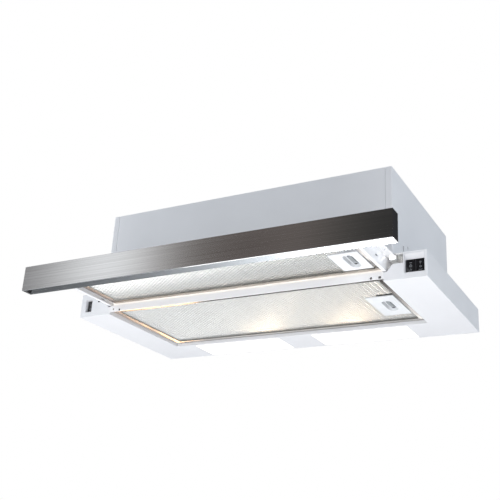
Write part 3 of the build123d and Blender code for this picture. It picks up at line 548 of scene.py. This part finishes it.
build_filter("rear_filter", True)
build_filter("drawer_filter", False)
for handle in ("rear_filter_handle", "drawer_filter_handle"):
    softened(handle, 0.45 * mm)
head_l = 6 * mm  # the latch slider's head, across the hood
bolt_half, bolt_rise = 3 * mm, 3.0 * mm
ridge_count, ridge_pitch, ridge_start, ridge_half, ridge_end = 7, 2.6 * mm, 4.5 * mm, 0.45 * mm, 0.8 * mm
stud_r = 1.9 * mm
for latch in ("rear_filter_latch", "drawer_filter_latch"):
    low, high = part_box(latch)
    middle = (low.y + high.y) / 2
    shape = bmesh.new()
    add_block(shape, (low.x, low.x + head_l), (low.y, high.y), (low.z, high.z), 0.9 * mm)
    add_block(
        shape,
        (low.x + head_l - 1 * mm, high.x),
        (middle - bolt_half, middle + bolt_half),
        (low.z + bolt_rise, high.z),
        0.3 * mm,
    )
    for step in range(ridge_count):
        ridge = low.y + ridge_start + step * ridge_pitch
        add_block(
            shape,
            (low.x + ridge_end, low.x + head_l - ridge_end),
            (ridge - ridge_half, ridge + ridge_half),
            (low.z - 0.3 * mm, low.z + 0.5 * mm),
            0.2 * mm,
        )
    slider = piece(latch + "_slider", from_bmesh(latch, shape), body_of[latch], "latch_plastic", latch)
    smooth(slider, 40.0)
    shape = bmesh.new()
    stud_place = (low.x + head_l / 2, high.y - 3.4 * mm)
    add_rod(shape, "z", stud_place, low.z - 0.35 * mm, low.z + 0.6 * mm, stud_r, 0.25 * mm)
    stud = piece(latch + "_stud", from_bmesh(latch + "_stud", shape), body_of[latch], "black_plastic")
    smooth(stud, 40.0)

# ---- Sheet metal with its folded edges ----
softened("lower_tray", 0.8 * mm, outer_only=True)
for panel in ("side_panel_left", "side_panel_right", "front_panel", "rear_panel", "top_panel"):
    softened(panel, 0.7 * mm, outer_only=True)
drawer_sheets = ("drawer_rail_left", "drawer_rail_right", "drawer_rear_rail", "fascia_rear_plate")
for sheet in ("front_crossbar", *drawer_sheets):
    softened(sheet, 0.3 * mm, outer_only=True)
softened("fascia", 0.5 * mm, outer_only=True)
# The rear plate takes the near-black sheet, whose colour is painted shade for the dark channel it sits in
finish(bpy.data.objects["fascia_rear_plate_formed"], plate_painted_shade)

# ---- Rockers and their marks ----
mark_t = 0.12 * mm
rocker_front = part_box("fan_rocker")[0].y


def ring_outline(radius, middle, steps=20):
    turns = [2 * math.pi * step / steps for step in range(steps)]
    return [(middle[0] + radius * math.cos(turn), middle[1] + radius * math.sin(turn)) for turn in turns]


def add_ring(shape, middle, inner, outer, steps=24):
    """A flat ring standing a mark's thickness out of a rocker's face."""
    levels = (rocker_front - mark_t, rocker_front + mark_t)
    rows = []
    for radius in (outer, inner):
        for level in levels:
            rows.append([shape.verts.new((u, level, v)) for u, v in ring_outline(radius, middle, steps)])
    outer_front, outer_back, inner_front, inner_back = rows
    section = (outer_front, inner_front, inner_back, outer_back)
    for first, second in zip(section, (*section[1:], section[0])):
        for step in range(steps):
            turn = (step + 1) % steps
            shape.faces.new((first[step], first[turn], second[turn], second[step]))


def add_bar(shape, middle, wide, high, turn=0.0):
    """A flat bar on a rocker's face, turned about its middle."""
    corners = ((-wide / 2, -high / 2), (wide / 2, -high / 2), (wide / 2, high / 2), (-wide / 2, high / 2))
    outline = []
    for u, v in corners:
        outline.append(
            (
                middle[0] + u * math.cos(turn) - v * math.sin(turn),
                middle[1] + u * math.sin(turn) + v * math.cos(turn),
            )
        )
    add_prism(shape, outline, rocker_front - mark_t, rocker_front + mark_t)


def fan_mark(shape, middle, size):
    """Four blades round a hub."""
    add_prism(shape, ring_outline(0.2 * size, middle, 12), rocker_front - mark_t, rocker_front + mark_t)
    for blade in range(4):
        turn = math.pi / 2 * blade + 0.4
        away = (middle[0] + 0.55 * size * math.cos(turn), middle[1] + 0.55 * size * math.sin(turn))
        add_bar(shape, away, 0.6 * size, 0.34 * size, turn)


def lamp_mark(shape, middle, size):
    """A bulb with rays over it."""
    add_ring(shape, middle, 0.34 * size, 0.5 * size)
    add_bar(shape, (middle[0], middle[1] - 0.68 * size), 0.5 * size, 0.2 * size)
    for ray in range(5):
        turn = math.pi * (0.1 + 0.2 * ray)
        away = (middle[0] + 0.8 * size * math.cos(turn), middle[1] + 0.8 * size * math.sin(turn))
        add_bar(shape, away, 0.34 * size, 0.12 * size, turn)


for rocker in ("fan_rocker", "lamp_rocker", "power_rocker"):
    low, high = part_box(rocker)
    middle_x = (low.x + high.x) / 2
    middle_z = (low.z + high.z) / 2
    softened(rocker, 0.15 * mm)
    shape = bmesh.new()
    if rocker == "fan_rocker":
        add_bar(shape, (middle_x, middle_z + 5.2 * mm), 3.6 * mm, 0.9 * mm)
        add_ring(shape, (middle_x, middle_z + 0.6 * mm), 1.35 * mm, 2.1 * mm)
        add_bar(shape, (middle_x, middle_z + 0.6 * mm), 0.6 * mm, 2.0 * mm)
        fan_mark(shape, (middle_x, middle_z - 5.0 * mm), 2.3 * mm)
    elif rocker == "lamp_rocker":
        lamp_mark(shape, (middle_x, middle_z + 4.4 * mm), 2.3 * mm)
        add_ring(shape, (middle_x, middle_z - 1.4 * mm), 0.95 * mm, 1.55 * mm)
        add_bar(shape, (middle_x, middle_z - 6.0 * mm), 5.2 * mm, 1.0 * mm)
    else:
        add_ring(shape, (middle_x, middle_z - 3.6 * mm), 1.35 * mm, 2.1 * mm)
        add_bar(shape, (middle_x, middle_z + 3.6 * mm), 1.0 * mm, 4.2 * mm)
    marks = from_bmesh(rocker + "_marks", shape)
    piece(rocker + "_marks", marks, body_of[rocker], "white_plastic", made=mark_paint)

# ---- Floor, light and camera ----
floor_height = -1.4
floor_left, floor_right, floor_front, floor_rear = -3.0, 4.0, -4.0, 4.0
floor_corners = (
    (floor_left, floor_front),
    (floor_right, floor_front),
    (floor_right, floor_rear),
    (floor_left, floor_rear),
)
floor_mesh = bpy.data.meshes.new("floor")
floor_mesh.from_pydata([(*corner, floor_height) for corner in floor_corners], [], [(0, 1, 2, 3)])
floor = bpy.data.objects.new("floor", floor_mesh)
bpy.context.scene.collection.objects.link(floor)
floor_paint = new_material("pale_floor", (0.86, 0.86, 0.87), 0.6)
tint(floor_paint, pattern(floor_paint, "NOISE", 1.5), (0.84, 0.84, 0.85), (0.88, 0.88, 0.89))
finish(floor, floor_paint)


def softbox(name, place, target, size, power, colour=(1.0, 1.0, 1.0), only=()):
    """A rectangular light turned to a target, unseen by the camera. It can be kept to the pieces in only."""
    data = bpy.data.lights.new(name, "AREA")
    data.shape = "RECTANGLE"
    data.size, data.size_y = size
    data.energy = power
    data.color = colour
    obj = bpy.data.objects.new(name, data)
    obj.location = place
    toward = Vector(target) - Vector(place)
    obj.rotation_euler = toward.to_track_quat("-Z", "Y").to_euler()
    obj.visible_camera = False
    bpy.context.scene.collection.objects.link(obj)
    if only:
        lit_pieces = bpy.data.collections.new(name + "_receivers")
        for receiver in only:
            lit_pieces.objects.link(receiver)
        obj.light_linking.receiver_collection = lit_pieces
        shades = bpy.data.collections.new(name + "_blockers")
        shades.objects.link(floor)
        obj.light_linking.blocker_collection = shades
    return obj


def named(names, ending):
    return [bpy.data.objects[name + ending] for name in names]


# Each row: name, place, target, size, watts, colour and, in the later tables, the pieces it is kept to
for row in (
    ("left_box", (-2.2, -0.6, 0.9), (0.0, -0.1, 0.0), (1.2, 1.2), 28.0, (0.86, 0.94, 1.0)),
    ("under_box", (0.05, -0.34, -0.70), (0.05, -0.05, 0.0), (1.6, 1.0), 6.7, (1.0, 0.98, 0.955)),
    ("front_box", (0.3, -2.2, -0.3), (0.0, -0.1, 0.0), (1.4, 0.8), 5.2, (0.92, 0.96, 1.0)),
    ("right_box", (2.2, 0.1, 0.3), (0.2, 0.0, 0.0), (1.2, 1.2), 10.3, (0.85, 0.94, 1.0)),
):
    softbox(*row)
for name in ("under_box", "front_box"):
    bpy.data.objects[name].visible_glossy = False

# Lights that only some pieces take, for the lamps' warm light on metal
filter_names = ("rear_filter", "drawer_filter")
layer_endings = ("_expanded_face", "_expanded_back", "_pleated_core")
rear_mesh, front_mesh = [
    [bpy.data.objects[name + ending] for ending in layer_endings] for name in filter_names
]
layers = rear_mesh + front_mesh
tray = named(("lower_tray",), "_formed")
rails = named(filter_names, "_frame_folded")
handles = named(filter_names, "_handle_formed")
for row in (
    ("mesh_box", (-1.3, 1.7, -0.5), (-0.1, 0.0, 0.0), (1.6, 0.8), 16.0, (1.0, 1.0, 0.985), layers),
    ("drawer_box", (-0.95, 0.75, -0.45), (-0.2, -0.2, 0.0), (0.6, 0.5), 5.0, (1.0, 0.985, 0.96), front_mesh),
    ("corner_box", (0.3, -2.2, -0.1), (0.0, -0.1, 0.0), (1.4, 0.8), 3.6, (0.95, 0.98, 1.0), tray),
    ("mesh_warm", (-0.15, 1.1, -0.42), (0.15, 0.0, 0.0), (0.5, 0.4), 0.6, (1.0, 0.80, 0.58), layers),
):
    softbox(*row)
for place, power in (((-0.056, 0.105, -0.077), 0.0175), ((0.096, 0.13, -0.077), 0.0245)):
    target = (place[0] + 0.05, place[1] - 0.1, -0.035)
    softbox("lamp_glow", place, target, (0.03, 0.03), power, (1.0, 0.76, 0.50), layers)
for along in (-0.17, -0.12, -0.07, -0.02, 0.03, 0.08, 0.13):
    place = (-0.261, along, -0.091)
    target = (-0.23, along - 0.077, -0.035)
    softbox("rail_glow", place, target, (0.05, 0.05), 0.035, (1.0, 0.56, 0.24), rails)
fascia = named(("fascia",), "_formed")
plate = named(("fascia_rear_plate",), "_formed")
crossbar = named(("front_crossbar",), "_formed")
rear_rail = named(("drawer_rear_rail",), "_formed")
guides = [frame["nodes"][name] for name in ("guide_rail_left", "guide_rail_right", "glide_strips")]
slides = named(("drawer_rail_left", "drawer_rail_right"), "_formed") + guides
for row in (
    ("rear_rail_box", (-0.15, 0.44, -0.33), (0.0, 0.06, -0.03), (0.8, 0.15), 0.7, (1.0, 0.98, 0.95), rails),
    ("handle_box", (0.3, -0.6, -0.65), (0.2, -0.1, 0.0), (0.4, 0.4), 0.6, (1.0, 1.0, 1.0), handles),
    ("hem_box", (-0.35, 1.0, -0.6), (0.2, -0.27, -0.04), (0.9, 0.3), 2.0, (1.0, 1.0, 1.0), fascia),
    ("strip_box", (0.40, -0.36, -0.12), (0.25, -0.27, -0.02), (0.1, 0.1), 37.0, (0.97, 0.99, 1.0), plate),
    ("cross_box", (0.0, -1.0, -0.5), (0.0, -0.13, -0.02), (0.8, 0.3), 2.6, (1.0, 0.95, 0.9), crossbar),
    ("rear_box", (0.0, -1.0, -0.5), (0.0, -0.13, -0.02), (0.8, 0.3), 12.0, (1.0, 0.92, 0.82), rear_rail),
    ("slide_box", (0.75, -0.7, -0.5), (0.25, -0.15, -0.01), (0.4, 0.4), 1.8, (1.0, 0.98, 0.95), slides),
    ("guide_box", (0.6, -0.7, -0.5), (0.25, -0.15, -0.01), (0.4, 0.4), 20.0, (1.0, 0.95, 0.88), guides),
):
    softbox(*row)
for handle in handles:
    handle.visible_glossy = False

# The studio round the object, by bearing in degrees from the front (0) round by the left (90). The side walls
# are pale, the front and rear ones dark, and a tall bright strip stands between the front and the left.
around = (
    (-180, (0.04, 0.04, 0.045)), (-150, (0.04, 0.04, 0.045)), (-125, (0.55, 0.58, 0.62)),
    (-60, (0.62, 0.65, 0.70)), (-20, (0.40, 0.42, 0.45)), (8, (0.05, 0.05, 0.05)),
    (20, (0.045, 0.045, 0.045)), (23, (0.10, 0.095, 0.09)), (26, (0.20, 0.175, 0.165)),
    (30, (0.145, 0.125, 0.12)), (33.5, (0.20, 0.18, 0.17)), (36.2, (0.50, 0.49, 0.49)),
    (38, (1.10, 1.12, 1.14)), (39.8, (1.34, 1.38, 1.44)), (41.5, (1.20, 1.23, 1.26)),
    (44.4, (0.42, 0.42, 0.43)), (47, (0.27, 0.27, 0.28)), (70, (0.60, 0.63, 0.68)),
    (120, (0.55, 0.58, 0.62)), (150, (0.08, 0.07, 0.065)), (180, (0.04, 0.04, 0.045)),
)
ceiling = (0.78, 0.81, 0.86)
wall_top, ceiling_start = 0.62, 0.85  # as the upward part of a direction
world = bpy.data.worlds.new("studio")
bpy.context.scene.world = world
world.use_nodes = True
tree = world.node_tree
tree.nodes.clear()


def math_node(operation, first, second=None):
    made = tree.nodes.new("ShaderNodeMath")
    made.operation = operation
    for socket, value in zip(made.inputs, (first, second)):
        if isinstance(value, (int, float)):
            socket.default_value = value
        elif value is not None:
            tree.links.new(value, socket)
    return made.outputs["Value"]


direction = tree.nodes.new("ShaderNodeTexCoord")
split = tree.nodes.new("ShaderNodeSeparateXYZ")
tree.links.new(direction.outputs["Generated"], split.inputs["Vector"])
toward_x = math_node("MULTIPLY", split.outputs["X"], -1.0)
toward_y = math_node("MULTIPLY", split.outputs["Y"], -1.0)
bearing = math_node("ARCTAN2", toward_x, toward_y)
turn_share = math_node("ADD", math_node("DIVIDE", bearing, 2 * math.pi), 0.5)
walls = tree.nodes.new("ShaderNodeValToRGB")
stops = walls.color_ramp.elements
for index, (degrees, colour) in enumerate(around):
    place = (degrees + 180.0) / 360.0
    stop = stops[index] if index < 2 else stops.new(place)
    stop.position = place
for stop in stops:
    colour = min(around, key=lambda row: abs((row[0] + 180.0) / 360.0 - stop.position))[1]
    stop.color = (*colour, 1.0)
tree.links.new(turn_share, walls.inputs["Fac"])
upward = tree.nodes.new("ShaderNodeMapRange")
upward.interpolation_type = "SMOOTHSTEP"
upward.inputs["From Min"].default_value = wall_top
upward.inputs["From Max"].default_value = ceiling_start
tree.links.new(split.outputs["Z"], upward.inputs["Value"])
room = tree.nodes.new("ShaderNodeMix")
room.data_type = "RGBA"
tree.links.new(upward.outputs["Result"], room.inputs["Factor"])
tree.links.new(walls.outputs["Color"], room.inputs["A"])
room.inputs["B"].default_value = (*ceiling, 1.0)
ambient = tree.nodes.new("ShaderNodeBackground")
tree.links.new(room.outputs["Result"], ambient.inputs["Color"])
ground = tree.nodes.new("ShaderNodeBackground")
ground.inputs["Color"].default_value = (1.0, 1.0, 1.0, 1.0)
rays = tree.nodes.new("ShaderNodeLightPath")
choice = tree.nodes.new("ShaderNodeMixShader")
shown = tree.nodes.new("ShaderNodeOutputWorld")
tree.links.new(rays.outputs["Is Camera Ray"], choice.inputs["Fac"])
tree.links.new(ambient.outputs["Background"], choice.inputs[1])
tree.links.new(ground.outputs["Background"], choice.inputs[2])
tree.links.new(choice.outputs["Shader"], shown.inputs["Surface"])
bpy.context.scene.view_settings.view_transform = "Standard"

camera_data = bpy.data.cameras.new("camera")
camera_data.lens = 59.8
camera_data.sensor_width = 36.0
camera = bpy.data.objects.new("camera", camera_data)
camera.location = (0.60636, -1.17082, -0.43946)
camera.rotation_euler = (1.954, -0.055, 0.494)
bpy.context.scene.collection.objects.link(camera)
bpy.context.scene.camera = camera
